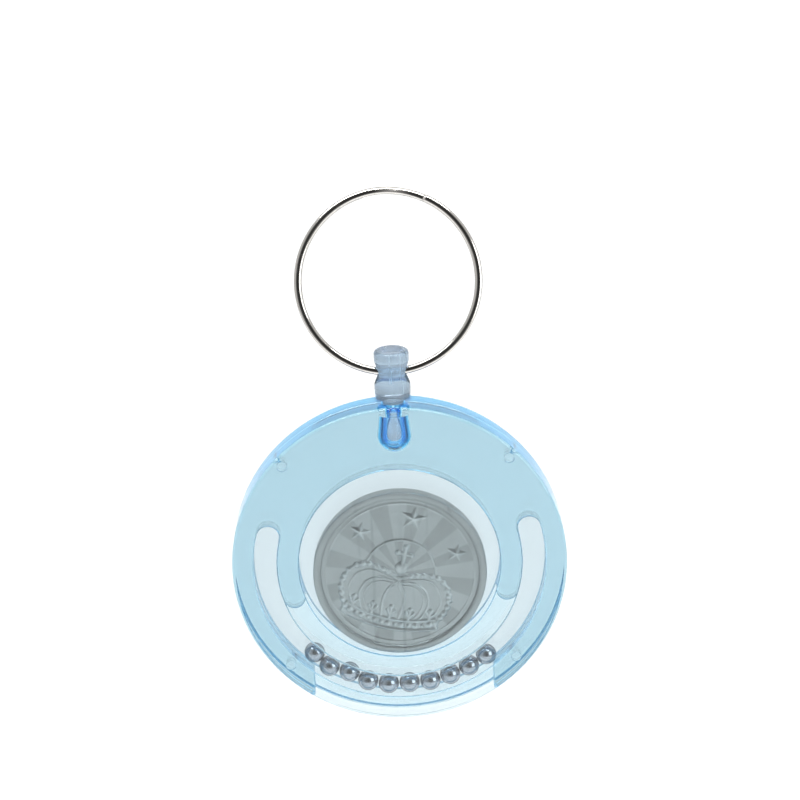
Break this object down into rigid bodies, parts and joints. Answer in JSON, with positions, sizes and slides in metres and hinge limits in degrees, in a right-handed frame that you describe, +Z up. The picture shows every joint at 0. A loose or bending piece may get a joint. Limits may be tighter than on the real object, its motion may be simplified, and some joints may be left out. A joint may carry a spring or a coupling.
{
  "type": "trick coin puzzle",
  "caption": "Clear disc-shaped hand puzzle on a split ring: a coin shut in a round pocket behind a row of small steel balls that part along a groove to let it out.",
  "frame": {"origin": "centre of the disc's flat rear face", "axes": "+Z up, from the exit at the bottom of the disc to the key ring; +Y out of the rear face; the front, with the coin's crown upright, faces -Y"},
  "size_m": [0.048, 0.0121, 0.0771],
  "materials": {
    "clear_shell": "clear polished light blue",
    "swivel_plug": "milky pale blue, smooth",
    "plated_wire": "bright nickel plate",
    "coin_metal": "struck satin face, worn bright on the relief",
    "ball_steel": "polished"
  },
  "bodies": {
    "ring": {"key_ring": "plated_wire"},
    "plug": {"connector": "swivel_plug"},
    "case": {"front_shell": "clear_shell", "rear_shell": "clear_shell"},
    "coin": {"coin": "coin_metal"},
    "ball_01": {"ball_01": "ball_steel"},
    "ball_02": {"ball_02": "ball_steel"},
    "ball_03": {"ball_03": "ball_steel"},
    "ball_04": {"ball_04": "ball_steel"},
    "ball_05": {"ball_05": "ball_steel"},
    "ball_06": {"ball_06": "ball_steel"},
    "ball_07": {"ball_07": "ball_steel"},
    "ball_08": {"ball_08": "ball_steel"},
    "ball_09": {"ball_09": "ball_steel"},
    "ball_10": {"ball_10": "ball_steel"}
  },
  "joints": [
    {"name": "plug_swing", "type": "hinge", "parent": "ring", "child": "plug", "pos_m": [0, -0.003, 0.02845], "axis": [1, 0, 0], "range_deg": [-140, 100]},
    {"name": "case_swivel", "type": "hinge", "parent": "plug", "child": "case", "pos_m": [0, -0.003, 0.0225], "axis": [0, 0, 1], "continuous": true},
    {"name": "coin_slide", "type": "slide", "parent": "case", "child": "coin", "axis": [0, 0, -1], "range_m": [0, 0.01]},
    {"name": "ball_01_roll", "type": "hinge", "parent": "case", "child": "ball_01", "pos_m": [0, -0.003, 0], "axis": [0, 1, 0], "range_deg": [0, 60]},
    {"name": "ball_02_roll", "type": "hinge", "parent": "case", "child": "ball_02", "pos_m": [0, -0.003, 0], "axis": [0, 1, 0], "range_deg": [0, 60]},
    {"name": "ball_03_roll", "type": "hinge", "parent": "case", "child": "ball_03", "pos_m": [0, -0.003, 0], "axis": [0, 1, 0], "range_deg": [0, 60]},
    {"name": "ball_04_roll", "type": "hinge", "parent": "case", "child": "ball_04", "pos_m": [0, -0.003, 0], "axis": [0, 1, 0], "range_deg": [0, 60]},
    {"name": "ball_05_roll", "type": "hinge", "parent": "case", "child": "ball_05", "pos_m": [0, -0.003, 0], "axis": [0, 1, 0], "range_deg": [0, 60]},
    {"name": "ball_06_roll", "type": "hinge", "parent": "case", "child": "ball_06", "pos_m": [0, -0.003, 0], "axis": [0, 1, 0], "range_deg": [-60, 0]},
    {"name": "ball_07_roll", "type": "hinge", "parent": "case", "child": "ball_07", "pos_m": [0, -0.003, 0], "axis": [0, 1, 0], "range_deg": [-60, 0]},
    {"name": "ball_08_roll", "type": "hinge", "parent": "case", "child": "ball_08", "pos_m": [0, -0.003, 0], "axis": [0, 1, 0], "range_deg": [-60, 0]},
    {"name": "ball_09_roll", "type": "hinge", "parent": "case", "child": "ball_09", "pos_m": [0, -0.003, 0], "axis": [0, 1, 0], "range_deg": [-60, 0]},
    {"name": "ball_10_roll", "type": "hinge", "parent": "case", "child": "ball_10", "pos_m": [0, -0.003, 0], "axis": [0, 1, 0], "range_deg": [-60, 0]}
  ],
  "couplings": [
    {"joint": "ball_01_roll", "follows": "coin_slide", "rad_per_m": 104.7},
    {"joint": "ball_02_roll", "follows": "coin_slide", "rad_per_m": 104.7},
    {"joint": "ball_03_roll", "follows": "coin_slide", "rad_per_m": 104.7},
    {"joint": "ball_04_roll", "follows": "coin_slide", "rad_per_m": 104.7},
    {"joint": "ball_05_roll", "follows": "coin_slide", "rad_per_m": 104.7},
    {"joint": "ball_06_roll", "follows": "coin_slide", "rad_per_m": -104.7},
    {"joint": "ball_07_roll", "follows": "coin_slide", "rad_per_m": -104.7},
    {"joint": "ball_08_roll", "follows": "coin_slide", "rad_per_m": -104.7},
    {"joint": "ball_09_roll", "follows": "coin_slide", "rad_per_m": -104.7},
    {"joint": "ball_10_roll", "follows": "coin_slide", "rad_per_m": -104.7}
  ]
}
